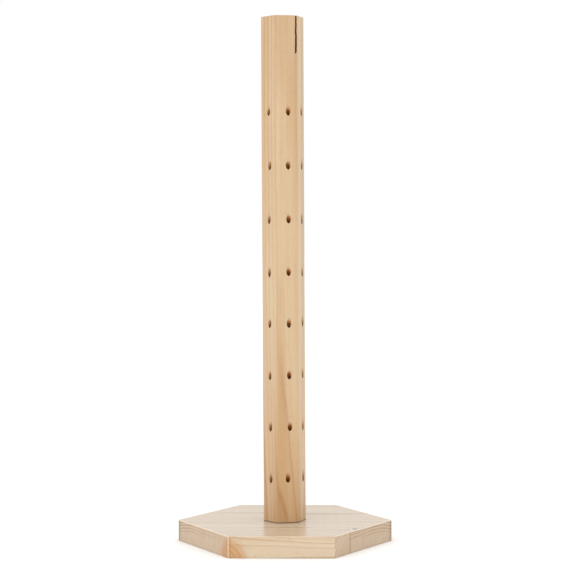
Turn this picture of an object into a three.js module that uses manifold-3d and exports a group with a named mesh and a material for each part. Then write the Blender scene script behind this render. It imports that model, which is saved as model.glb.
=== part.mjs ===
// A hexagonal pine post with rows of slanted blind holes, standing on a hexagonal base of edge-glued
// pine staves and held by one countersunk wood screw from below.
//
// Millimetres, +Z up. The origin is the centre of the base's underside. The base has corners on +X and
// -X, and its front edge faces -Y. The staves run along X.

import * as THREE from "three";
import { mergeVertices } from "three/addons/utils/BufferGeometryUtils.js";
import Module from "manifold-3d";

// Base panel
const BASE_ACROSS_CORNERS = 205;
const BASE_ACROSS_FLATS = 176;
const BASE_FRONT_EDGE = 97.5; // length of the front edge, and of the back edge
const BASE_THICKNESS = 20;
const STAVE_JOINTS = [-65.3, -45, 9.5, 49]; // Y of the glue joints, front to back

// Post
const POST_LENGTH = 480;
const POST_ACROSS_FLATS = 36.5;
const POST_ARRIS_RADIUS = 4.5;
const POST_ARRIS_SEGMENTS = 4;
const POST_FACES = 6;
const POST_TURN = THREE.MathUtils.degToRad(12); // its first face, turned from the base's front

// Holes for sticks, blind and sloping inward and downward
const HOLE_ROWS = 8;
const HOLE_PITCH = 50;
const HOLE_FIRST_ROW = 90; // below the top of the post
const HOLE_RADIUS = 2.25;
const HOLE_DEPTH = 18; // along the hole's axis, from its mouth
const HOLE_SLOPE = THREE.MathUtils.degToRad(60); // below level
const HOLE_OFFSET = 2; // beside the middle of each face
const HOLE_SIDES = 12;
const DRILL_POINT = 1.2; // length of the cone at the bottom of a drilled hole

// Drying crack, down from the top end and along the first arris
const CRACK_LENGTH = 36;
const CRACK_WIDTH = 1.5;
const CRACK_DEPTH = 5;
const CRACK_OFFSET = 10; // beside the middle of the first face
const CRACK_WANDER = 0.25;
const CRACK_WAVE = 1.9; // radians of wander from one step to the next
const CRACK_TAPER = 4; // the higher, the nearer to its lower end the crack keeps its width
const CRACK_STEPS = 12;

// Countersunk wood screw on the axis of the post
const SCREW_LENGTH = 60;
const SCREW_RADIUS = 2.5; // over the thread, and of the plain shank
const SCREW_CORE_RADIUS = 1.6;
const SCREW_HEAD_RADIUS = 4.75;
const SCREW_HEAD_HEIGHT = 2.6;
const SCREW_HEAD_RIM = 0.4;
const SCREW_RECESS = 0.8; // how far the head sits above the underside of the base
const SCREW_THREAD_START = 24; // from the head's face
const SCREW_THREAD_PITCH = 2.5;
const SCREW_THREAD_ROOT = 0.6; // share of each turn at the core's radius
const SCREW_THREAD_FLANK = 0.25; // share of each turn from there up to the crest
const SCREW_POINT = 7;
const SCREW_SIDES = 16;
const SEAT_SIDES = 24;
const PILOT_SPARE = 2; // how far the pilot hole runs past the screw's point
const SLOT_LENGTH = 4.6; // of each arm of the cross recess
const SLOT_WIDTH = 0.9;
const SLOT_DEPTH = 1.9;
const CLEARANCE = 0.3; // between the screw and the wood
const OVERSHOOT = 2; // how far a cutter runs past the surface that it cuts

const wasm = await Module();
wasm.setup();

function toSolid(geometry) {
  const bare = geometry.index ? geometry.clone() : geometry;
  bare.deleteAttribute("normal");
  bare.deleteAttribute("uv");
  const merged = mergeVertices(bare, 1e-4);
  const mesh = new wasm.Mesh({
    numProp: 3,
    vertProperties: merged.attributes.position.array,
    triVerts: Uint32Array.from(merged.index.array),
  });
  return new wasm.Manifold(mesh);
}

function toGeometry(solid) {
  const mesh = solid.getMesh();
  const geometry = new THREE.BufferGeometry();
  geometry.setAttribute("position", new THREE.Float32BufferAttribute(mesh.vertProperties, 3));
  geometry.setIndex(Array.from(mesh.triVerts));
  geometry.computeVertexNormals();
  return geometry;
}

function cut(body, cutters) {
  return cutters.reduce((rest, cutter) => rest.subtract(toSolid(cutter)), toSolid(body));
}

// A solid of revolution about +Z from a profile of [radius, z] points that starts and ends on the axis
function turned(profile, sides) {
  const points = profile.map(([radius, z]) => new THREE.Vector2(radius, z));
  return new THREE.LatheGeometry(points, sides).rotateX(Math.PI / 2);
}

function extruded(shape, height, curveSegments = 1) {
  return new THREE.ExtrudeGeometry(shape, { depth: height, bevelEnabled: false, curveSegments });
}

// --- Base staves: strips of the hexagon between one glue joint and the next ---

const halfFlats = BASE_ACROSS_FLATS / 2;
const halfCorners = BASE_ACROSS_CORNERS / 2;

// Half the length of the hexagon along X, at a given Y
function halfLengthAt(y) {
  const slope = (halfCorners - BASE_FRONT_EDGE / 2) / halfFlats;
  return halfCorners - Math.abs(y) * slope;
}

function staveShape(front, back) {
  const stations = front < 0 && back > 0 ? [front, 0, back] : [front, back];
  const right = stations.map((y) => new THREE.Vector2(halfLengthAt(y), y));
  const left = stations.map((y) => new THREE.Vector2(-halfLengthAt(y), y)).reverse();
  return new THREE.Shape([...right, ...left]);
}

// The screw's shank hole and the countersink for its head
function screwSeat() {
  const shank = SCREW_RADIUS + CLEARANCE;
  const rim = SCREW_HEAD_RADIUS + CLEARANCE;
  const rimTop = SCREW_RECESS + SCREW_HEAD_RIM + CLEARANCE;
  const coneTop = rimTop + SCREW_HEAD_HEIGHT - SCREW_HEAD_RIM;
  const through = BASE_THICKNESS + OVERSHOOT;
  const profile = [[0, -OVERSHOOT], [rim, -OVERSHOOT], [rim, rimTop], [shank, coneTop]];
  profile.push([shank, through], [0, through]);
  return turned(profile, SEAT_SIDES);
}

function staveGeometry(front, back) {
  const strip = extruded(staveShape(front, back), BASE_THICKNESS);
  const holdsScrew = front < 0 && back > 0;
  return holdsScrew ? toGeometry(cut(strip, [screwSeat()])) : strip;
}

// --- Post: a hexagonal prism with softened arrises, in its own frame with its foot at z = 0 ---

const postApothem = POST_ACROSS_FLATS / 2;
const faceAngle = (2 * Math.PI) / POST_FACES;

function postOutline() {
  const innerCorner = (postApothem - POST_ARRIS_RADIUS) / Math.cos(faceAngle / 2);
  const shape = new THREE.Shape();
  for (let corner = 0; corner < POST_FACES; corner += 1) {
    const middle = -Math.PI / 2 + faceAngle * (corner + 0.5);
    const x = innerCorner * Math.cos(middle);
    const y = innerCorner * Math.sin(middle);
    shape.absarc(x, y, POST_ARRIS_RADIUS, middle - faceAngle / 2, middle + faceAngle / 2, false);
  }
  return shape;
}

// A drill bit along its own +Z, with its point down at z = -HOLE_DEPTH and the mouth of the hole at 0
function drillBit() {
  const reach = HOLE_RADIUS * Math.tan(HOLE_SLOPE) + OVERSHOOT;
  const shoulder = -HOLE_DEPTH + DRILL_POINT;
  const profile = [[0, -HOLE_DEPTH], [HOLE_RADIUS, shoulder], [HOLE_RADIUS, reach], [0, reach]];
  return turned(profile, HOLE_SIDES);
}

function holeCutter(face, row) {
  const outward = Math.PI / 2 - HOLE_SLOPE; // tilt of the bit from +Z towards the face
  const mouthHeight = POST_LENGTH - HOLE_FIRST_ROW - row * HOLE_PITCH;
  return drillBit()
    .rotateX(outward)
    .translate(HOLE_OFFSET, -postApothem, mouthHeight)
    .rotateZ(face * faceAngle);
}

// The crack in its face: two wandering edges that close to a point at the lower end
function crackCutter() {
  const left = [];
  const right = [];
  for (let step = 0; step <= CRACK_STEPS; step += 1) {
    const down = step / CRACK_STEPS;
    const middle = CRACK_OFFSET + CRACK_WANDER * (Math.sin(step * CRACK_WAVE) - down);
    const halfWidth = (CRACK_WIDTH / 2) * Math.sqrt(1 - down ** CRACK_TAPER);
    const height = POST_LENGTH + OVERSHOOT - down * (CRACK_LENGTH + OVERSHOOT);
    left.push(new THREE.Vector2(middle - halfWidth, height));
    if (halfWidth > 0) right.push(new THREE.Vector2(middle + halfWidth, height));
  }
  const outline = new THREE.Shape([...left, ...right.reverse()]);
  return extruded(outline, CRACK_DEPTH + OVERSHOOT)
    .rotateX(Math.PI / 2)
    .translate(0, -postApothem + CRACK_DEPTH, 0);
}

function pilotCutter() {
  const radius = SCREW_RADIUS + CLEARANCE;
  const end = SCREW_RECESS + SCREW_LENGTH - BASE_THICKNESS + PILOT_SPARE;
  const shoulder = end - SCREW_POINT;
  const profile = [[0, -OVERSHOOT], [radius, -OVERSHOOT], [radius, shoulder], [0, end]];
  return turned(profile, SCREW_SIDES);
}

function postGeometry() {
  const cutters = [pilotCutter(), crackCutter()];
  for (let row = 0; row < HOLE_ROWS; row += 1) {
    for (let face = 0; face < POST_FACES; face += 1) cutters.push(holeCutter(face, row));
  }
  const prism = extruded(postOutline(), POST_LENGTH, POST_ARRIS_SEGMENTS);
  return toGeometry(cut(prism, cutters));
}

// --- Screw: head at z = 0 of its own frame, point up ---

function screwProfile() {
  const threadEnd = SCREW_LENGTH - SCREW_POINT;
  const root = SCREW_THREAD_PITCH * SCREW_THREAD_ROOT;
  const flank = SCREW_THREAD_PITCH * SCREW_THREAD_FLANK;
  const profile = [[0, 0], [SCREW_HEAD_RADIUS, 0], [SCREW_HEAD_RADIUS, SCREW_HEAD_RIM]];
  profile.push([SCREW_RADIUS, SCREW_HEAD_HEIGHT], [SCREW_RADIUS, SCREW_THREAD_START]);
  // the thread, as one ring to each turn
  for (let z = SCREW_THREAD_START + flank; z + SCREW_THREAD_PITCH < threadEnd; z += SCREW_THREAD_PITCH) {
    profile.push([SCREW_CORE_RADIUS, z], [SCREW_CORE_RADIUS, z + root], [SCREW_RADIUS, z + root + flank]);
  }
  profile.push([SCREW_CORE_RADIUS, threadEnd], [0, SCREW_LENGTH]);
  return profile;
}

function screwGeometry() {
  const arm = () => new THREE.BoxGeometry(SLOT_LENGTH, SLOT_WIDTH, 2 * SLOT_DEPTH);
  return toGeometry(cut(turned(screwProfile(), SCREW_SIDES), [arm(), arm().rotateZ(Math.PI / 2)]));
}

// --- Assembly ---

const BASE_PINE = { color: 0xe3cfb4, roughness: 0.75, metalness: 0 };
const POST_PINE = { color: 0xd9b994, roughness: 0.7, metalness: 0 };
const ZINC_STEEL = { color: 0xb9bcc0, roughness: 0.35, metalness: 1 };

function addPiece(parent, name, geometry, look) {
  const piece = new THREE.Mesh(geometry, new THREE.MeshStandardMaterial(look));
  piece.name = name;
  parent.add(piece);
  return piece;
}

const stand = new THREE.Group();

const staveEdges = [-halfFlats, ...STAVE_JOINTS, halfFlats];
for (let index = 0; index + 1 < staveEdges.length; index += 1) {
  const geometry = staveGeometry(staveEdges[index], staveEdges[index + 1]);
  addPiece(stand, `base_stave_${index + 1}`, geometry, BASE_PINE);
}

const post = addPiece(stand, "post", postGeometry(), POST_PINE);
post.position.z = BASE_THICKNESS;
post.rotation.z = POST_TURN;

const screw = addPiece(stand, "centre_screw", screwGeometry(), ZINC_STEEL);
screw.position.z = SCREW_RECESS;

export default stand;
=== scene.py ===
# A raw pine post with rows of slanted stick holes on a hexagonal base of edge-glued staves.
# Blender works in metres. The object's lengths below are in millimetres, and MM scales them as geometry
# is made. Wood patterns are worked out in millimetres too, in each board's own directions. The studio
# is given in metres.

import math
import random
from dataclasses import dataclass

import bmesh
import bpy
from mathutils import Matrix, Vector, noise


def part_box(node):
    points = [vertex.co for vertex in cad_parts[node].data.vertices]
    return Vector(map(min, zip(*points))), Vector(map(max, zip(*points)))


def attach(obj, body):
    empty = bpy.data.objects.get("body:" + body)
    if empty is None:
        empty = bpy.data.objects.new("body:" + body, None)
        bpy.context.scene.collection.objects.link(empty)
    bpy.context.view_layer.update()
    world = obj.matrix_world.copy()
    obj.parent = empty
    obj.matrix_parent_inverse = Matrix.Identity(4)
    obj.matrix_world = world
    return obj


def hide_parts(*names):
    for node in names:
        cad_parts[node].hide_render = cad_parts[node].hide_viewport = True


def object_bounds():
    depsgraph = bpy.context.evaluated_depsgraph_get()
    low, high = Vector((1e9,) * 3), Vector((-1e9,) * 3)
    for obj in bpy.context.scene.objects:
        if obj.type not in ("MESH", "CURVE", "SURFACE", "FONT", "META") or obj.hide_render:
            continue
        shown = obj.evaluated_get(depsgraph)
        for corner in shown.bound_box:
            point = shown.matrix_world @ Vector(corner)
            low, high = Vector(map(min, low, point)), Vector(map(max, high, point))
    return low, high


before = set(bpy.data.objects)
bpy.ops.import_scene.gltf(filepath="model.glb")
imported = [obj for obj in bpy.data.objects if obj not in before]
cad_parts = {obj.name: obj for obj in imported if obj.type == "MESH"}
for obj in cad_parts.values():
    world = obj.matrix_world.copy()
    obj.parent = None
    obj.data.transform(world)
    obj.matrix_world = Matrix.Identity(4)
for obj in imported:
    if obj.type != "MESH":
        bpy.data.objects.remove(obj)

cad_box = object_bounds()
MM = 0.001
NEAR = 0.01  # places closer than this count as the same

# --- Sizes, in millimetres: from the frame where it has them ---

BASE_HIGH = cad_box[1] / MM
POST_LOW, POST_HIGH = (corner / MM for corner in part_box("post"))
HALF_CORNERS = BASE_HIGH.x
HALF_FLATS = BASE_HIGH.y
HALF_FRONT_EDGE = 48.75
BASE_TOP = POST_LOW.z
POST_TOP = POST_HIGH.z
POST_LENGTH = POST_HIGH.z - POST_LOW.z

BASE_CORNER_RADIUS = 1.2
BASE_EDGE_RADIUS = 0.7
GLUE_JOINT_RADIUS = 0.12

FACES = 6
FACE_ANGLE = math.tau / FACES
POST_TURN = math.radians(12)
APOTHEM = 36.5 / 2
ARRIS_RADIUS = 4.5

# The post's sanded ends, as steps of how far the outline is drawn in and how far from the end
END_EASING = [(0.5, 0), (0.15, 0.15), (0, 0.5)]

HOLE_ROWS = 8
HOLE_PITCH = 50
HOLE_FIRST_ROW = 90
HOLE_RADIUS = 2.25
HOLE_DEPTH = 18
HOLE_SLOPE = math.radians(60)
HOLE_OFFSET = 2.0
HOLE_SIDES = 28
DRILL_POINT = 1.2

# Where a drill cut has a ring of points, along its axis from the middle of its mouth
DRILL_STATIONS = (-HOLE_DEPTH + DRILL_POINT, -14, -10, -7, *range(-5, 7), 8, 10)

# How far a hand-marked hole is off its true place: up by row, across and up by face, and two that
# wandered. The third number by face is how much wider the bit wobbled its holes.
ROW_ERRORS = (0.8, 0.0, -0.6, -1.0, 0.8, 1.4, 1.8, 2.4)
COLUMN_ERRORS = (
    (0.0, 0.0, 0.0),
    (0.0, 0.0, 0.3),
    (0.3, 0.2, 0.1),
    (-0.4, 0.0, 0.0),
    (0.2, -0.3, 0.2),
    (-0.8, -0.6, 0.05),
)
STRAY_HOLES = {(0, 7): (-2.0, 1.0), (5, 1): (1.2, 0.0)}

# How much one hole differs from the next by chance
SLOPE_ERROR = math.radians(2.5)
UP_ERROR = 0.4
ACROSS_ERROR = 0.3
LEAST_RAGGED = 0.2
MOST_RAGGED = 0.5

# The lip that the bit drags upward: how fast it widens, and how far up the cut it starts
USUAL_DRAG = 0.35
MOST_DRAG = 0.38
DRAG_PER_WOBBLE = 0.5
DRAG_START = 2.5
DRAG_POWER = 1.5

# Torn fibres: their noise around and along the cut, and how far from the mouth they reach
TEAR_AROUND = 1.9
TEAR_ALONG = 0.35
TEAR_REACH = 7

CRACK_LENGTH = 36
CRACK_DEPTH = 4
CRACK_OFFSET = 10.0
CRACK_STEPS = 72
CRACK_HALF_WIDTH = 0.85
CRACK_WIDENING = 0.15
CRACK_EDGE = 0.15
CRACK_HOOK = 1.3  # how far its lower end bends to the left
CRACK_HOOK_START = 0.955  # the share of its length where that begins

SCREW_RECESS = 0.8
SCREW_LENGTH = 60
SCREW_RADIUS = 2.5
SCREW_CORE = 1.6
SCREW_CLEARANCE = 0.3
THREAD_START = 24.0
THREAD_RUN_IN = 1  # from the plain shank to the first ring of the thread
THREAD_STOP = 0.4  # the thread ends this far short of the tip
THREAD_PITCH = 2.5
THREAD_STEPS = 10  # rings to each turn
THREAD_HALF_WIDTH = 0.28  # of the crest at its root, as a share of the pitch
SCREW_POINT = 7.0
SCREW_TIP_RADIUS = 0.05
SCREW_SIDES = 32
HEAD_RADIUS = 4.75
HEAD_HEIGHT = 2.6
HEAD_RIM = 0.4
HEAD_CHAMFER = 0.15
SEAT_SIDES = 40
PILOT_SPARE = 2
PILOT_POINT = 6
OVERSHOOT = 1  # how far a cutter runs past the surface that it cuts


# --- Mesh helpers ---


def add_loft(build, rings):
    """Adds a closed solid through rings of points to a bmesh. A ring of one point is a pointed end."""
    loops = [[build.verts.new(Vector(point) * MM) for point in ring] for ring in rings]
    for lower, upper in zip(loops, loops[1:]):
        count = max(len(lower), len(upper))
        for index in range(count):
            after = (index + 1) % count
            if len(lower) == 1:
                build.faces.new((lower[0], upper[after], upper[index]))
            elif len(upper) == 1:
                build.faces.new((lower[index], lower[after], upper[0]))
            else:
                build.faces.new((lower[index], lower[after], upper[after], upper[index]))
    if len(loops[0]) > 1:
        build.faces.new(list(reversed(loops[0])))
    if len(loops[-1]) > 1:
        build.faces.new(loops[-1])


def loft_object(name, solids):
    """A mesh object of one or more closed solids, each a list of rings."""
    build = bmesh.new()
    for rings in solids:
        add_loft(build, rings)
    bmesh.ops.recalc_face_normals(build, faces=build.faces[:])
    mesh = bpy.data.meshes.new(name)
    build.to_mesh(mesh)
    build.free()
    thing = bpy.data.objects.new(name, mesh)
    bpy.context.scene.collection.objects.link(thing)
    return thing


def bake_modifiers(thing):
    """Replaces the object's mesh by what its modifiers make of it."""
    graph = bpy.context.evaluated_depsgraph_get()
    mesh = bpy.data.meshes.new_from_object(thing.evaluated_get(graph))
    thing.modifiers.clear()
    thing.data = mesh


def carve(thing, cutter):
    """Cuts the cutter object out of the thing, and removes the cutter."""
    cut = thing.modifiers.new("cut", "BOOLEAN")
    cut.operation = "DIFFERENCE"
    cut.solver = "MANIFOLD"
    cut.object = cutter
    bake_modifiers(thing)
    bpy.data.objects.remove(cutter)


def smooth_by_angle(thing, degrees=35):
    """Smooth shading with sharp edges kept, and flat faces that stay flat beside rounded ones."""
    thing.data.shade_smooth()
    thing.data.set_sharp_from_angle(angle=math.radians(degrees))
    weighted = thing.modifiers.new("weighted", "WEIGHTED_NORMAL")
    weighted.keep_sharp = True
    bake_modifiers(thing)


def finish_piece(thing, material, slot, *nodes):
    """Gives a piece its material, sets it on the root body, and hides the frame's parts that it replaces.
    """
    thing.data.materials.clear()
    thing.data.materials.append(material)
    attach(thing, "root")
    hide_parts(*nodes)


def circle_points(radius, height, sides):
    """A level circle of points about the vertical axis."""
    angles = [math.tau * side / sides for side in range(sides)]
    return [(radius * math.cos(angle), radius * math.sin(angle), height) for angle in angles]


def rounded_polygon(corners, radii, steps=5):
    """Points of a convex polygon, anticlockwise, with an arc of the given radius at each corner."""
    points = []
    for index, corner in enumerate(corners):
        here = Vector(corner)
        before = (Vector(corners[index - 1]) - here).normalized()
        after = (Vector(corners[(index + 1) % len(corners)]) - here).normalized()
        half = before.angle(after) / 2
        radius = radii[index]
        if radius == 0:
            points.append(here)
            continue
        centre = here + (before + after).normalized() * (radius / math.sin(half))
        first = here + before * (radius / math.tan(half)) - centre
        sweep = math.pi - 2 * half
        for step in range(steps + 1):
            turned = first.copy()
            turned.rotate(Matrix.Rotation(sweep * step / steps, 2))
            points.append(centre + turned)
    return points


# --- Post ---


def post_outline(inset):
    """The hexagon with softened arrises, drawn in by an inset, with its first face towards -Y."""
    reach = (APOTHEM - inset) / math.cos(FACE_ANGLE / 2)
    angles = [-math.pi / 2 + FACE_ANGLE * (corner + 0.5) for corner in range(FACES)]
    corners = [(reach * math.cos(angle), reach * math.sin(angle)) for angle in angles]
    return rounded_polygon(corners, [ARRIS_RADIUS] * FACES, steps=10)


def post_blank():
    """The post before drilling: its ends eased with fine sandpaper, and its sides divided halfway between
    the rows of holes, so that no face takes more than one hole."""
    first = POST_LENGTH - HOLE_FIRST_ROW + HOLE_PITCH / 2
    divisions = [(0, first - row * HOLE_PITCH) for row in reversed(range(HOLE_ROWS))]
    upper = [(inset, POST_LENGTH - height) for inset, height in reversed(END_EASING)]
    rings = [
        [(point.x, point.y, height) for point in post_outline(inset)]
        for inset, height in END_EASING + divisions + upper
    ]
    return loft_object("post", [rings])


def hole_rings(face, row, rng):
    """Rings of a drill cut in the post's frame. Its axis comes up and out of the face. The upper lip is
    dragged out where the bit skated before it bit, and the mouth is ragged with torn fibres."""
    slope = HOLE_SLOPE + rng.uniform(-SLOPE_ERROR, SLOPE_ERROR)
    outward = Vector((0, -math.cos(slope), math.sin(slope)))
    across = Vector((1, 0, 0))
    inward = Vector((0, math.sin(slope), math.cos(slope)))
    stray_across, stray_up = STRAY_HOLES.get((face, row), (0.0, 0.0))
    column_across, column_up, wobble = COLUMN_ERRORS[face]
    height = POST_LENGTH - HOLE_FIRST_ROW - row * HOLE_PITCH
    height += ROW_ERRORS[row] + column_up + stray_up + rng.uniform(-UP_ERROR, UP_ERROR)
    beside = HOLE_OFFSET + column_across + stray_across + rng.uniform(-ACROSS_ERROR, ACROSS_ERROR)
    centre = Vector((beside, -APOTHEM, height))
    drag = min(MOST_DRAG, rng.uniform(0.0, USUAL_DRAG) + DRAG_PER_WOBBLE * wobble)
    raggedness = rng.uniform(LEAST_RAGGED, MOST_RAGGED)
    seed = Vector((face * 7.3, row * 3.1, 0))
    turn = Matrix.Rotation(face * FACE_ANGLE, 3, "Z")

    rings = [[turn @ (centre - outward * HOLE_DEPTH)]]
    for station in DRILL_STATIONS:
        near_mouth = max(0.0, 1 - abs(station) / TEAR_REACH)
        ring = []
        for side in range(HOLE_SIDES):
            angle = math.tau * side / HOLE_SIDES
            upward = max(0.0, math.sin(angle)) ** DRAG_POWER
            grow = drag * max(0.0, station - DRAG_START) * upward
            around = Vector((math.cos(angle), math.sin(angle), station * TEAR_ALONG))
            torn = raggedness * near_mouth * noise.noise(seed + around * TEAR_AROUND)
            radius = HOLE_RADIUS + wobble + grow + torn
            spoke = across * math.cos(angle) + inward * math.sin(angle)
            ring.append(turn @ (centre + outward * station + spoke * radius))
        rings.append(ring)
    return rings


def crack_rings():
    """The drying crack: a wandering wedge, open at the top end and along the first arris. Its section
    has a wide mouth outside the surface, a shoulder just inside, and a narrow floor."""
    mouth = -APOTHEM - 1.5
    shoulder = -APOTHEM + 1.2
    rings = []
    for step in range(CRACK_STEPS + 1):
        down = step / CRACK_STEPS
        height = POST_LENGTH + OVERSHOOT - down * (CRACK_LENGTH + OVERSHOOT)
        wander = 0.3 * noise.noise(Vector((0, 0, height * 0.16)))
        wander += 0.14 * noise.noise(Vector((5, 0, height * 0.9)))
        hook = CRACK_HOOK * max(0.0, down - CRACK_HOOK_START) / (1 - CRACK_HOOK_START)
        middle = CRACK_OFFSET + wander - hook
        closing = math.sqrt(max(0.0, 1 - down**24))
        gape = (CRACK_HALF_WIDTH + CRACK_WIDENING * down) * closing + CRACK_EDGE
        jagged = 0.3 * noise.noise(Vector((9, 0, height * 0.8)))
        floor = -APOTHEM + CRACK_DEPTH * math.sqrt(max(0.02, 1 - down**16))
        rings.append(
            [
                (middle - gape - jagged, mouth, height),
                (middle + gape - jagged * 0.5, mouth, height),
                (middle + gape * 0.8, shoulder, height),
                (middle + gape * 0.25 + 0.3, floor, height),
                (middle - gape * 0.25 + 0.3, floor, height),
                (middle - gape * 0.85, shoulder, height),
            ]
        )
    return rings


def pilot_rings():
    """The screw's pilot hole, up the post's axis from its foot."""
    radius = SCREW_RADIUS + SCREW_CLEARANCE
    end = SCREW_RECESS + SCREW_LENGTH - BASE_TOP + PILOT_SPARE
    rings = [circle_points(radius, height, SCREW_SIDES) for height in (-OVERSHOOT, end - PILOT_POINT)]
    return rings + [[(0, 0, end)]]


def make_post():
    """The drilled and cracked post, turned and set on the base."""
    rng = random.Random(48)
    post = post_blank()
    cuts = [hole_rings(face, row, rng) for row in range(HOLE_ROWS) for face in range(FACES)]
    carve(post, loft_object("post_cuts", cuts + [crack_rings(), pilot_rings()]))
    post.data.transform(
        Matrix.Translation((0, 0, BASE_TOP * MM)) @ Matrix.Rotation(POST_TURN, 4, "Z")
    )
    smooth_by_angle(post)
    return post


# --- Base ---


def half_length_at(y):
    """Half the length of the base along X, at a given Y."""
    return HALF_CORNERS - abs(y) * (HALF_CORNERS - HALF_FRONT_EDGE) / HALF_FLATS


def make_stave(node):
    """One strip of the base. Its outer edges are sanded round, and its glue joints are nearly sharp."""
    low, high = (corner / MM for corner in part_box(node))
    front = low.y
    back = high.y
    holds_screw = front < 0 < back
    stations = [front, 0.0, back] if holds_screw else [front, back]
    corners = [(half_length_at(y), y) for y in stations]
    corners += [(-half_length_at(y), y) for y in reversed(stations)]
    sanded = [abs(abs(y) - HALF_FLATS) < NEAR or y == 0.0 for _, y in corners]
    outline = rounded_polygon(corners, [BASE_CORNER_RADIUS if corner else 0 for corner in sanded])
    rings = [[(point.x, point.y, height) for point in outline] for height in (0, BASE_TOP)]
    stave = loft_object(node + "_wood", [rings])
    ease_edges(stave, front, back)
    if holds_screw:
        carve(stave, loft_object("seat_cut", [seat_rings()]))
    smooth_by_angle(stave)
    return stave


def ease_edges(stave, front, back):
    """Rounds the level edges: fully at the outside of the base, and slightly along the glue joints."""
    joints = [y for y in (front, back) if abs(y) < HALF_FLATS - NEAR]
    weights = stave.data.attributes.new("bevel_weight_edge", "FLOAT", "EDGE")
    for edge in stave.data.edges:
        start, end = (stave.data.vertices[index].co / MM for index in edge.vertices)
        if abs(start.z - end.z) >= NEAR:
            continue
        on_joint = any(abs(start.y - y) < NEAR and abs(end.y - y) < NEAR for y in joints)
        weights.data[edge.index].value = GLUE_JOINT_RADIUS / BASE_EDGE_RADIUS if on_joint else 1.0
    bevel = stave.modifiers.new("ease", "BEVEL")
    bevel.limit_method = "WEIGHT"
    bevel.offset_type = "OFFSET"
    bevel.width = BASE_EDGE_RADIUS * MM
    bevel.segments = 4
    bake_modifiers(stave)


def seat_rings():
    """The countersink and the shank hole for the screw."""
    shank = SCREW_RADIUS + SCREW_CLEARANCE
    rim = HEAD_RADIUS + SCREW_CLEARANCE
    rim_top = SCREW_RECESS + HEAD_RIM + SCREW_CLEARANCE
    cone_top = SCREW_RECESS + HEAD_HEIGHT + SCREW_CLEARANCE
    profile = [(rim, -OVERSHOOT), (rim, rim_top), (shank, cone_top), (shank, BASE_TOP + OVERSHOOT)]
    return [circle_points(radius, height, SEAT_SIDES) for radius, height in profile]


# --- Screw ---


def make_screw():
    """A countersunk screw with a cut thread and a cross recess, its head towards the underside."""
    profile = [
        (HEAD_RADIUS - HEAD_CHAMFER, 0),
        (HEAD_RADIUS, HEAD_CHAMFER),
        (HEAD_RADIUS, HEAD_RIM),
        (SCREW_RADIUS, HEAD_HEIGHT),
        (SCREW_RADIUS - SCREW_TIP_RADIUS, THREAD_START - THREAD_RUN_IN),
    ]
    rings = [circle_points(radius, height, SCREW_SIDES) for radius, height in profile]
    rings += thread_rings()
    rings.append([(0, 0, SCREW_LENGTH)])
    screw = loft_object("centre_screw_steel", [rings])
    carve(screw, loft_object("recess_cut", [recess_rings()]))
    screw.data.transform(Matrix.Translation((0, 0, SCREW_RECESS * MM)))
    smooth_by_angle(screw, 40)
    return screw


def thread_rings():
    """Rings up the thread, a helical crest on the core that tapers to the screw's point."""
    steps = int((SCREW_LENGTH - THREAD_START - THREAD_STOP) / THREAD_PITCH * THREAD_STEPS)
    rings = []
    for step in range(steps):
        height = THREAD_START + step * THREAD_PITCH / THREAD_STEPS
        taper = min(1.0, (SCREW_LENGTH - height) / SCREW_POINT)
        ring = []
        for side in range(SCREW_SIDES):
            angle = math.tau * side / SCREW_SIDES
            turn = (height / THREAD_PITCH - side / SCREW_SIDES) % 1.0
            crest = max(0.0, 1 - abs(turn - 0.5) / THREAD_HALF_WIDTH)
            radius = (SCREW_CORE + (SCREW_RADIUS - SCREW_CORE) * crest) * taper + SCREW_TIP_RADIUS
            ring.append((radius * math.cos(angle), radius * math.sin(angle), height))
        rings.append(ring)
    return rings


def recess_rings():
    """A cross with tapering arms: two sections, each with its height, reach and half width."""
    rings = []
    for height, reach, half_width in ((-0.5, 2.45, 0.52), (1.9, 0.9, 0.36)):
        ring = []
        for arm in range(4):
            turn = Matrix.Rotation(arm * math.pi / 2, 3, "Z")
            for x, y in ((half_width, -half_width), (reach, -half_width), (reach, half_width)):
                ring.append(turn @ Vector((x, y, height)))
        rings.append(ring)
    return rings


# --- Material nodes ---


def srgb(red, green, blue):
    """A colour from its eight-bit display values."""
    def linear(value):
        value /= 255
        return value / 12.92 if value <= 0.04045 else ((value + 0.055) / 1.055) ** 2.4

    return (linear(red), linear(green), linear(blue), 1.0)


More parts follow.
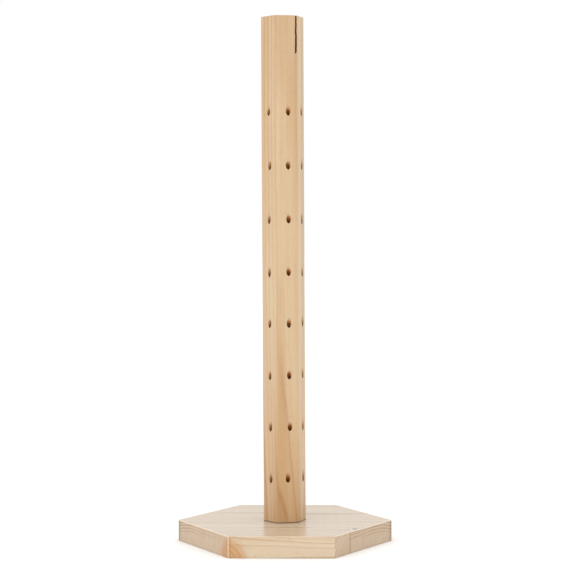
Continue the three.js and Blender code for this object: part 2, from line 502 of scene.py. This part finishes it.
class Graph:
    """A material's nodes, with a short call for each kind that is used here."""

    def __init__(self, name):
        self.material = bpy.data.materials.new(name)
        self.material.use_nodes = True
        self.tree = self.material.node_tree
        self.tree.nodes.clear()

    def add(self, kind, inputs=None, **settings):
        node = self.tree.nodes.new(kind)
        for key, value in settings.items():
            setattr(node, key, value)
        for key, value in (inputs or {}).items():
            if isinstance(value, bpy.types.NodeSocket):
                self.tree.links.new(value, node.inputs[key])
            else:
                node.inputs[key].default_value = value
        return node

    def math(self, operation, first, second=0.0, third=0.0):
        inputs = {0: first, 1: second, 2: third}
        return self.add("ShaderNodeMath", inputs, operation=operation).outputs[0]

    def product(self, first, *others):
        for other in others:
            first = self.math("MULTIPLY", first, other)
        return first

    def length(self, first, second):
        """How far a point is from the origin of two axes."""
        squares = self.math("MULTIPLY_ADD", first, first, self.math("MULTIPLY", second, second))
        return self.math("SQRT", squares)

    def vector(self, operation, first, second=(0, 0, 0)):
        node = self.add("ShaderNodeVectorMath", {0: first, 1: second}, operation=operation)
        return node.outputs["Value" if operation in ("LENGTH", "DOT_PRODUCT") else "Vector"]

    def parts(self, vector):
        return self.add("ShaderNodeSeparateXYZ", {0: vector}).outputs

    def scaled(self, vector, across, along):
        return self.vector("MULTIPLY", vector, (across, across, along))

    def noise(self, vector, detail=2.0, roughness=0.5):
        inputs = {"Vector": vector, "Scale": 1.0, "Detail": detail, "Roughness": roughness}
        return self.add("ShaderNodeTexNoise", inputs, noise_dimensions="3D")

    def noise_along(self, value, detail):
        inputs = {"W": value, "Scale": 1.0, "Detail": detail, "Roughness": 0.5}
        return self.add("ShaderNodeTexNoise", inputs, noise_dimensions="1D").outputs[0]

    def range(self, value, low, high, to_low=0.0, to_high=1.0):
        """Turns low into to_low and high into to_high, with a smooth step between."""
        inputs = {0: value, 1: low, 2: high, 3: to_low, 4: to_high}
        return self.add("ShaderNodeMapRange", inputs, interpolation_type="SMOOTHSTEP").outputs[0]

    def mix(self, factor, first, second, blend="MIX"):
        inputs = {0: factor, 6: first, 7: second}
        return self.add("ShaderNodeMix", inputs, data_type="RGBA", blend_type=blend).outputs[2]

    def ramp(self, value, stops):
        node = self.add("ShaderNodeValToRGB", {0: value})
        elements = node.color_ramp.elements
        while len(elements) < len(stops):
            elements.new(0.5)
        for element, (position, level) in zip(elements, stops):
            element.position = position
            element.color = (level, level, level, 1.0)
        return node.outputs[0]

    def bump(self, height, strength, distance):
        inputs = {"Height": height, "Strength": strength, "Distance": distance * MM}
        return self.add("ShaderNodeBump", inputs).outputs[0]

    def surface(self, **inputs):
        """The material's shader. An underscore in an input's name stands for a space."""
        named = {key.replace("_", " "): value for key, value in inputs.items()}
        shader = self.add("ShaderNodeBsdfPrincipled", named)
        self.add("ShaderNodeOutputMaterial", {"Surface": shader.outputs[0]})
        return self.material


# --- Wood ---

# How fast each pattern changes across the grain and along it, per millimetre
BROAD_WARP = (0.02, 0.004)
FINE_WARP = (0.13, 0.014)
STRETCHES = (0.05, 0.006)
PATCHES = (0.05, 0.004)
STREAKS = (0.45, 0.008)
FIBRES = (5.0, 0.09)
CANALS = (2.6, 0.16)

# How dark the wood is through one year's growth, on long grain and on end grain, where the line of
# latewood is broader
FINE_LINE = ((0.0, 0.3), (0.06, 0.0), (0.4, 0.03), (0.68, 0.15), (0.85, 0.45), (0.93, 1.0), (1.0, 0.5))
BROAD_LINE = ((0.0, 0.4), (0.1, 0.0), (0.58, 0.0), (0.76, 0.7), (0.84, 1.0), (0.93, 1.0), (1.0, 0.4))

CANAL_BROWN = srgb(150, 105, 66)
# painted shade for the base's upward faces, greyer and darker than its sides
TOP_FACE_SHADE = srgb(182, 170, 152)
# a painted highlight for rounded upper edges
EDGE_HIGHLIGHT = srgb(240, 228, 210)
GLUE_BROWN = srgb(112, 78, 48)
# painted shade for the base's two end corners
END_CORNER_SHADE = srgb(120, 104, 84)
CORNER_RESIN = srgb(150, 104, 62)
CORNER_PALE = srgb(224, 196, 160)
# brown inside the holes: drill scorch, and painted shade that deepens inwards
HOLE_MOUTH = srgb(180, 124, 70)
HOLE_INSIDE = srgb(138, 74, 20)
# painted shade in the crack, darker towards its narrow lower end
CRACK_UPPER = srgb(174, 106, 44)
CRACK_LOWER = srgb(122, 56, 6)


@dataclass
class Knot:
    """A branch or a resin streak in a board, in the board's own directions: its heart, its reach, how far
    it pushes the growth rings aside, its own rings and its colours."""
    at: tuple
    radii: tuple
    swirl: float
    strength: float
    outer: tuple
    inner: tuple
    rings: float = 3.2


@dataclass
class Board:
    """How one piece was sawn from its log, in its own directions: two across the grain, one along."""
    seed: float  # its own part of the noise
    pith: tuple  # where the middle of the tree lay
    spacing: float = 3.0  # the width of a year's growth
    bow: tuple = (0.0, 0.0, 0.0)  # where the pith starts to curve away, and how fast on each axis
    phase: float = 0.0  # moves the rings, in years
    wander: float = 7.0  # how far the rings stray from true circles
    fade: tuple = (-2.0, -1.0)  # the distances from the pith between which the rings come in
    grain: str = "X"
    contrast: float = 1.0  # of the rings on long grain
    end_contrast: float = 1.0  # of the rings on end grain
    pale: tuple = srgb(220, 202, 177)
    warm: tuple = srgb(213, 189, 158)
    late: tuple = srgb(168, 130, 92)
    end_grain: tuple = srgb(188, 165, 140)
    knots: tuple = ()
    seams: tuple = ()

    def offset(self, *steps):
        """A move to a part of the noise that no other board uses."""
        return tuple(self.seed * step for step in steps)


@dataclass
class Patch:
    """A part of the post with a colour of its own, or with painted light or shade. Each fade is an axis
    of the post, the two places in millimetres between which the colour comes in, and its strength at each
    where that isn't 0 and 1."""
    colour: tuple
    fades: tuple
    blend: str = "MULTIPLY"


def board_place(g, board):
    """Millimetres in the board's directions, its grain along the third."""
    place = g.add("ShaderNodeTexCoord").outputs["Object"]
    place = g.vector("MULTIPLY", place, (1 / MM,) * 3)
    if board.grain == "Z":
        turned = {"Vector": place, "Axis": (0, 0, 1), "Angle": -POST_TURN}
        return g.add("ShaderNodeVectorRotate", turned, rotation_type="AXIS_ANGLE").outputs[0]
    x, y, z = g.parts(place)
    return g.add("ShaderNodeCombineXYZ", {0: y, 1: z, 2: x}).outputs[0]


def surface_facing(g, board):
    """How far the surface cuts across the grain, is a rounded upper edge, and faces up: from 0 to 1. The
    second marks where a painted highlight goes, and the third where painted shade goes on the base. An
    edge that faces the front counts for less."""
    normal = g.add("ShaderNodeNewGeometry").outputs["Normal"]
    axis = (0, 0, 1) if board.grain == "Z" else (1, 0, 0)
    ends = g.range(g.math("ABSOLUTE", g.vector("DOT_PRODUCT", normal, axis)), 0.35, 0.75)
    upward = g.vector("DOT_PRODUCT", normal, (0, 0, 1))
    backward = g.vector("DOT_PRODUCT", normal, (0, 1, 0))
    rounded = g.product(g.range(upward, 0.08, 0.3), g.range(upward, 0.985, 0.93))
    edges = g.product(rounded, g.range(backward, -0.6, -0.4, 0.3, 1.0))
    return ends, edges, g.range(upward, 0.9, 0.98)


def knot_distances(g, board, place):
    """For each knot, the distance from its heart, counted in its own radii."""
    distances = []
    for knot in board.knots:
        offset = g.vector("SUBTRACT", place, knot.at)
        shape = g.vector("MULTIPLY", offset, tuple(1 / radius for radius in knot.radii))
        distances.append((knot, g.vector("LENGTH", shape)))
    return distances


def warp(g, seeded, speeds, detail, reach):
    """A smooth sideways shift of the growth rings."""
    colour = g.noise(g.scaled(seeded, *speeds), detail=detail).outputs["Color"]
    return g.vector("MULTIPLY", g.vector("SUBTRACT", colour, (0.5,) * 3), (reach, reach, 0))


def pith_radius(g, board, place, knots):
    """The distance from the pith, warped as a real trunk is, and the direction around it."""
    seeded = g.vector("ADD", place, board.offset(37.0, 11.0, 91.0))
    wander = warp(g, seeded, BROAD_WARP, 1.0, board.wander)
    ripple = warp(g, seeded, FINE_WARP, 2.0, 1.0)
    parts = g.parts(g.vector("ADD", g.vector("ADD", place, wander), ripple))
    start, curve_first, curve_second = board.bow
    below = g.math("MAXIMUM", g.math("SUBTRACT", start, parts[2]), 0.0)
    below = g.product(below, below)
    first = g.math("SUBTRACT", parts[0], g.math("MULTIPLY_ADD", below, curve_first, board.pith[0]))
    second = g.math("SUBTRACT", parts[1], g.math("MULTIPLY_ADD", below, curve_second, board.pith[1]))
    radius = g.length(first, second)
    for knot, distance in knots:
        bulge = g.math("EXPONENT", g.product(distance, distance, -0.35))
        radius = g.math("MULTIPLY_ADD", bulge, knot.swirl, radius)
    return radius, g.math("ARCTAN2", first, second)


def ring_strength(g, board, seeded, radius):
    """Latewood from 0 to 1: it rises slowly through a year's growth and ends in a sharp line. The second
    value is for end grain, where the line is broader."""
    uneven = g.noise_along(g.math("MULTIPLY_ADD", radius, 0.12, board.seed * 5.3), detail=1.0)
    rings = g.math("MULTIPLY_ADD", radius, 1 / board.spacing, board.phase)
    rings = g.math("MULTIPLY_ADD", uneven, 1.2, rings)
    within = g.math("FRACT", rings)
    number = {"W": g.math("FLOOR", rings)}
    year = g.add("ShaderNodeTexWhiteNoise", number, noise_dimensions="1D").outputs[0]
    stretch = g.noise(g.scaled(seeded, *STRETCHES), detail=2.0).outputs[0]
    strength = g.product(
        g.range(year, 0.0, 1.0, 0.5, 1.0),
        g.range(stretch, 0.3, 0.7, 0.5, 1.1),
        g.range(radius, *board.fade, 0.15, 1.0),
    )
    return (
        g.product(g.ramp(within, FINE_LINE), g.product(strength, board.contrast)),
        g.product(g.ramp(within, BROAD_LINE), g.product(strength, board.end_contrast)),
    )


def knot_colour(g, colour, knots):
    """Paints each knot, with rings of its own."""
    for knot, distance in knots:
        inside = g.range(distance, 1.2, 0.7, 0.0, knot.strength)
        own_rings = g.math("FRACT", g.product(distance, knot.rings))
        colour = g.mix(inside, colour, g.mix(own_rings, knot.outer, knot.inner))
    return colour


def ray_colour(g, board, radius, angle, ends, colour):
    """The pale rays that run out from the pith on end grain."""
    around = {0: g.product(angle, 55.0), 1: g.product(radius, 0.12)}
    pattern = g.noise(g.add("ShaderNodeCombineXYZ", around).outputs[0], detail=2.0)
    rays = g.range(pattern.outputs[0], 0.45, 0.75)
    return g.mix(g.product(rays, ends, 0.25), colour, board.pale)


def pine(name, board):
    """Raw, sanded pine: pale earlywood that darkens to a thin latewood line, fibres, resin canals,
    knots, and end grain where the surface cuts the fibres."""
    g = Graph(name)
    is_post = board.grain == "Z"
    place = board_place(g, board)
    knots = knot_distances(g, board, place)
    ends, edges, top = surface_facing(g, board)
    seeded = g.vector("ADD", place, board.offset(13.0, 29.0, 57.0))
    radius, angle = pith_radius(g, board, place, knots)
    late, late_at_ends = ring_strength(g, board, seeded, radius)
    if is_post:
        late = plainer_above(g, place, late)

    patches = g.noise(g.scaled(seeded, *PATCHES), detail=2.0).outputs[0]
    streaks = g.noise(g.scaled(seeded, *STREAKS), detail=3.0).outputs[0]
    colour = g.mix(g.range(patches, 0.35, 0.65), board.pale, board.warm)
    colour = g.mix(g.range(streaks, 0.35, 0.7, 0.0, 0.45), colour, board.warm)
    colour = g.mix(g.product(ends, 0.75), colour, board.end_grain)
    colour = g.mix(g.product(late, g.math("SUBTRACT", 1.0, ends)), colour, board.late)
    colour = g.mix(g.product(late_at_ends, ends), colour, board.late)

    # fibres are fine streaks on long grain and specks on end grain
    fibres = g.noise(g.scaled(seeded, *FIBRES), detail=3.0, roughness=0.65).outputs[0]
    colour = g.mix(g.range(fibres, 0.3, 0.7, 0.0, 0.14), colour, board.late)
    canals = g.noise(g.scaled(seeded, *CANALS), detail=0.0).outputs[0]
    canals = g.range(canals, 0.71, 0.78, 0.0, 0.35)
    colour = g.mix(canals, colour, CANAL_BROWN)
    colour = ray_colour(g, board, radius, angle, ends, colour)
    colour = knot_colour(g, colour, knots)

    rough = g.range(fibres, 0.2, 0.8, 0.35, 0.48)
    if is_post:
        # a painted highlight on the post's rounded upper edges
        colour = g.mix(g.product(edges, 0.2), colour, EDGE_HIGHLIGHT)
        colour, sunk = post_marks_and_shade(g, place, colour)
        rough = g.math("MAXIMUM", rough, g.product(sunk, 1.4))
    else:
        # painted shade: the base's upward faces are greyed and darkened
        colour = g.mix(g.product(top, 0.38), colour, TOP_FACE_SHADE)
        colour = worn_and_shaded_corners(g, place, colour)
        # a painted highlight along the base's rounded upper edges
        colour = g.mix(g.product(edges, 0.8), colour, EDGE_HIGHLIGHT)
        colour = glue_lines(g, board, place, ends, colour)
        rough = g.math("MULTIPLY_ADD", top, -0.17, rough)

    relief = g.math("MULTIPLY_ADD", fibres, 0.6, g.product(late, 0.5))
    relief = g.math("MULTIPLY_ADD", canals, -0.8, relief)
    normal = g.bump(relief, strength=0.25, distance=0.1)
    return g.surface(Base_Color=colour, Roughness=rough, Normal=normal, Specular_IOR_Level=0.5)


def plainer_above(g, place, late):
    """The post's growth rings grow fainter from its foot up, except on its left side."""
    parts = g.parts(place)
    plainer = g.range(parts[2], 330.0, 100.0, 0.5, 1.0)
    plainer = g.math("MAXIMUM", plainer, g.range(parts[0], -9.0, -12.0, 0.0, 1.2))
    return g.product(late, plainer)


def glue_lines(g, board, place, ends, colour):
    """The dark hairline where a stave's end grain meets its neighbour's, clearer at the right end."""
    parts = g.parts(place)
    right_end = g.range(parts[2], -5.0, 5.0, 0.15, 1.0)
    for seam, width, strength in board.seams:
        distance = g.math("ABSOLUTE", g.math("SUBTRACT", parts[0], seam))
        line = g.range(distance, width, width * 0.3, 0.0, strength)
        colour = g.mix(g.product(line, ends, right_end), colour, GLUE_BROWN)
    return colour


def worn_and_shaded_corners(g, place, colour):
    """Painted shade darkens the base's two end corners. Its front left corner is sanded off to a pale
    strip between two resinous lines."""
    parts = g.parts(place)
    from_middle = g.math("ABSOLUTE", parts[2])
    # painted shade towards the two end corners
    corner_shade = g.range(from_middle, HALF_CORNERS - 3.5, HALF_CORNERS - 0.8, 0.0, 0.5)
    colour = g.mix(corner_shade, colour, END_CORNER_SHADE)
    first = g.math("SUBTRACT", parts[0], -HALF_FLATS)
    second = g.math("SUBTRACT", parts[2], -HALF_FRONT_EDGE)
    distance = g.length(first, second)
    line = g.product(g.range(distance, 1.1, 1.5), g.range(distance, 3.0, 2.0, 0.0, 0.45))
    colour = g.mix(line, colour, CORNER_RESIN)
    return g.mix(g.range(distance, 1.5, 1.1, 0.0, 0.5), colour, CORNER_PALE)


def depth_below_faces(g, place):
    """How deep a point lies below the nearest of the post's six faces."""
    outermost = None
    for turn in range(FACES // 2):
        angle = math.pi / 2 + turn * FACE_ANGLE
        across = g.vector("DOT_PRODUCT", place, (math.cos(angle), math.sin(angle), 0))
        distance = g.math("ABSOLUTE", across)
        outermost = distance if outermost is None else g.math("MAXIMUM", outermost, distance)
    return g.math("SUBTRACT", APOTHEM, outermost)


def post_marks_and_shade(g, place, colour):
    """The post's colouring: its patches, some of them painted light and shade, then brown inside its
    holes, drill scorch with painted shade that deepens inwards, and painted shade in its crack. The
    second value is how far inside a hole or the crack a point is."""
    parts = g.parts(place)
    for patch in POST_PATCHES:
        factor = g.product(*(g.range(parts[axis], *fade) for axis, *fade in patch.fades))
        colour = g.mix(factor, colour, patch.colour, patch.blend)

    depth = depth_below_faces(g, place)
    below_top = g.range(parts[2], POST_TOP - 0.1, POST_TOP - 0.7)
    shallow = g.product(g.range(depth, 0.45, 1.5, 0.0, 0.75), below_top)
    deep = g.product(g.range(depth, 1.1, 3.0), below_top)
    # drill scorch and painted shade: brown at the mouths, darker deeper in
    colour = g.mix(shallow, colour, HOLE_MOUTH)
    colour = g.mix(deep, colour, HOLE_INSIDE)

    # painted shade in the crack, darker towards its lower end
    from_crack = g.math("ABSOLUTE", g.math("SUBTRACT", parts[0], CRACK_OFFSET))
    cracked = g.product(
        g.range(from_crack, 3.0, 2.4),
        g.range(depth, 0.55, 0.9),
        g.range(parts[2], POST_TOP - CRACK_LENGTH - 1, POST_TOP - CRACK_LENGTH),
        g.range(parts[1], -8.0, -10.0),
        below_top,
    )
    lower_end = g.range(parts[2], POST_TOP - 5, POST_TOP - CRACK_LENGTH + 4)
    return g.mix(cracked, colour, g.mix(lower_end, CRACK_UPPER, CRACK_LOWER)), shallow


ACROSS, THROUGH, UP = range(3)

POST_PATCHES = (
    # darker towards the foot: painted shade near the base, with a deeper wood tone
    Patch(srgb(240, 228, 212), ((UP, 230.0, 20.0), (ACROSS, -16.0, -8.0, 0.05, 0.25))),
    # darker low on the front face
    Patch(srgb(246, 234, 216), ((UP, 190.0, 40.0, 0.0, 0.6), (THROUGH, -13.0, -17.0))),
    # paler up the left side: painted light on the side that faces the light
    Patch(
        colour=srgb(222, 204, 178),
        fades=((UP, 380.0, 240.0, 0.0, 0.2), (UP, 60.0, 200.0, 0.65, 1.0), (ACROSS, -9.0, -15.0)),
        blend="MIX",
    ),
    # painted shade on the right side, a little darker and cooler
    Patch(srgb(242, 248, 252), ((ACROSS, 14.5, 18.0), (UP, 60.0, 220.0))),
    # a toasted look at the top of the front face
    Patch(srgb(250, 244, 240), ((UP, 400.0, 450.0), (THROUGH, -13.0, -17.0))),
    # a painted contact shadow: a dark line where the post meets the base
    Patch(srgb(90, 58, 30), ((UP, BASE_TOP + 1.2, BASE_TOP + 0.5, 0.0, 0.75),), blend="MIX"),
)

POST_BOARD = Board(
    seed=1.0,
    pith=(-9.0, 19.0),
    bow=(235.0, 0.0, -0.00011),
    spacing=3.85,
    phase=0.605,
    wander=2.0,
    grain="Z",
    contrast=0.75,
    pale=srgb(215, 189, 153),
    warm=srgb(205, 170, 128),
    late=srgb(170, 122, 74),
    end_grain=srgb(192, 158, 118),
)

CORNER_KNOT = Knot(
    at=(-89.0, -4.0, -54.0),
    radii=(13.0, 23.0, 23.0),
    swirl=3.0,
    rings=5.0,
    strength=0.7,
    outer=srgb(204, 150, 82),
    inner=srgb(178, 114, 48),
)
PIN_KNOT = Knot(
    at=(-48.0, 20.0, 67.0),
    radii=(5.0, 8.0, 2.8),
    swirl=2.0,
    strength=0.95,
    outer=srgb(124, 98, 78),
    inner=srgb(92, 68, 52),
)
RESIN_STREAK = Knot(
    at=(-41.0, 20.0, 3.0),
    radii=(1.5, 3.0, 26.0),
    swirl=0.0,
    rings=0.8,
    strength=0.75,
    outer=srgb(150, 116, 80),
    inner=srgb(136, 100, 64),
)

# The glue joints that show: their place, how wide the dark line is, and how strong
FRONT_SEAM = (-65.3, 1.3, 0.42)
SECOND_SEAM = (-45.0, 0.4, 0.3)

STAVE_BOARDS = {
    "base_stave_1": Board(
        seed=2.0,
        pith=(-62.0, -5.0),
        bow=(49.0, 0.0, 0.001),
        spacing=2.1,
        phase=0.4,
        wander=1.5,
        contrast=0.85,
        end_contrast=2.0,
        end_grain=srgb(202, 182, 158),
        knots=(CORNER_KNOT,),
        seams=(FRONT_SEAM,),
    ),
    "base_stave_2": Board(
        seed=3.0,
        pith=(-50.0, -70.0),
        spacing=2.8,
        wander=2.0,
        fade=(82.0, 87.0),
        end_contrast=1.35,
        knots=(PIN_KNOT,),
        seams=(FRONT_SEAM, SECOND_SEAM),
    ),
    "base_stave_3": Board(
        seed=4.0,
        pith=(-29.0, -75.0),
        wander=2.0,
        fade=(84.0, 89.0),
        end_contrast=1.35,
        knots=(RESIN_STREAK,),
        seams=(SECOND_SEAM,),
    ),
    "base_stave_4": Board(seed=5.0, pith=(34.0, 90.0), spacing=2.8),
    "base_stave_5": Board(seed=6.0, pith=(60.0, -38.0), spacing=2.5),
}


# --- Steel ---


def zinc_steel():
    """Bright zinc plating over turned steel, slightly cloudy."""
    g = Graph("zinc_steel")
    place = g.vector("MULTIPLY", g.add("ShaderNodeTexCoord").outputs["Object"], (1 / MM,) * 3)
    clouds = g.noise(g.scaled(place, 0.6, 0.6), detail=4.0).outputs[0]
    turning = g.noise(g.scaled(place, 0.3, 9.0), detail=2.0).outputs[0]
    colour = g.mix(g.range(clouds, 0.35, 0.65), srgb(196, 200, 206), srgb(214, 212, 204))
    rough = g.range(clouds, 0.3, 0.7, 0.24, 0.42)
    normal = g.bump(turning, strength=0.2, distance=0.05)
    return g.surface(Base_Color=colour, Metallic=1.0, Roughness=rough, Normal=normal)


# --- Studio, in metres ---


def make_floor():
    """A wide pale floor, just below the base."""
    build = bmesh.new()
    bmesh.ops.create_circle(build, cap_ends=True, segments=96, radius=12.0)
    mesh = bpy.data.meshes.new("studio_floor")
    build.to_mesh(mesh)
    build.free()
    floor = bpy.data.objects.new("studio_floor", mesh)
    bpy.context.scene.collection.objects.link(floor)
    g = Graph("studio_floor")
    place = g.add("ShaderNodeTexCoord").outputs["Object"]
    mottle = g.noise(g.scaled(place, 3.0, 3.0), detail=2.0).outputs[0]
    colour = g.mix(mottle, srgb(250, 250, 249), srgb(253, 253, 252))
    mesh.materials.append(g.surface(Base_Color=colour, Roughness=0.9))
    floor.location.z = -0.1 * MM


def make_lights():
    """A white surround, soft light from above, and a broad key light in front, to the left."""
    world = bpy.data.worlds.new("studio")
    bpy.context.scene.world = world
    world.use_nodes = True
    background = world.node_tree.nodes["Background"]
    background.inputs["Color"].default_value = (1.0, 1.0, 1.0, 1.0)
    background.inputs["Strength"].default_value = 1.0

    overhead = bpy.data.lights.new("overhead", "SUN")
    overhead.angle = math.radians(80)
    overhead.energy = 0.5
    place_light(overhead, Vector((-0.1, -0.3, 2.0)))

    key = bpy.data.lights.new("key", "AREA")
    key.shape = "DISK"
    key.size = 1.4
    key.energy = 3.5
    place_light(key, Vector((-1.0, -1.8, 1.1)))


def place_light(lamp, place):
    """Puts a light at a place in metres and aims it at the middle of the object."""
    aim = Vector((0, 0, 0.2))
    light = bpy.data.objects.new(lamp.name, lamp)
    light.location = place
    light.rotation_mode = "QUATERNION"
    light.rotation_quaternion = (aim - place).to_track_quat("-Z", "Y")
    bpy.context.scene.collection.objects.link(light)


def make_camera():
    """The photograph's view: a long lens, a little above the middle of the post."""
    distance = 1.675
    height = 0.3114
    azimuth = math.radians(2.2)
    heading = math.radians(0.144)
    dip = math.radians(2.346)
    roll = math.radians(-0.303)
    lens = bpy.data.cameras.new("camera")
    lens.sensor_width = 36.0
    lens.lens = 109.7
    lens.clip_end = 100.0
    camera = bpy.data.objects.new("camera", lens)
    bpy.context.scene.collection.objects.link(camera)
    camera.location = (distance * math.sin(azimuth), -distance * math.cos(azimuth), height)
    turn = Matrix.Rotation(azimuth - heading, 4, "Z") @ Matrix.Rotation(math.pi / 2 - dip, 4, "X")
    camera.rotation_mode = "QUATERNION"
    camera.rotation_quaternion = (turn @ Matrix.Rotation(roll, 4, "Z")).to_quaternion()
    bpy.context.scene.camera = camera


def set_view():
    """Plain display colours, with no filmic curve."""
    view = bpy.context.scene.view_settings
    view.view_transform = "Standard"
    view.look = "None"


make_camera()
make_floor()
make_lights()
set_view()

finish_piece(make_post(), pine("pine_post", POST_BOARD), "pine_post", "post")
for stave_node, stave_board in STAVE_BOARDS.items():
    stave_pine = pine(stave_node + "_pine", stave_board)
    finish_piece(make_stave(stave_node), stave_pine, "pine_base", stave_node)
finish_piece(make_screw(), zinc_steel(), "zinc_steel", "centre_screw")
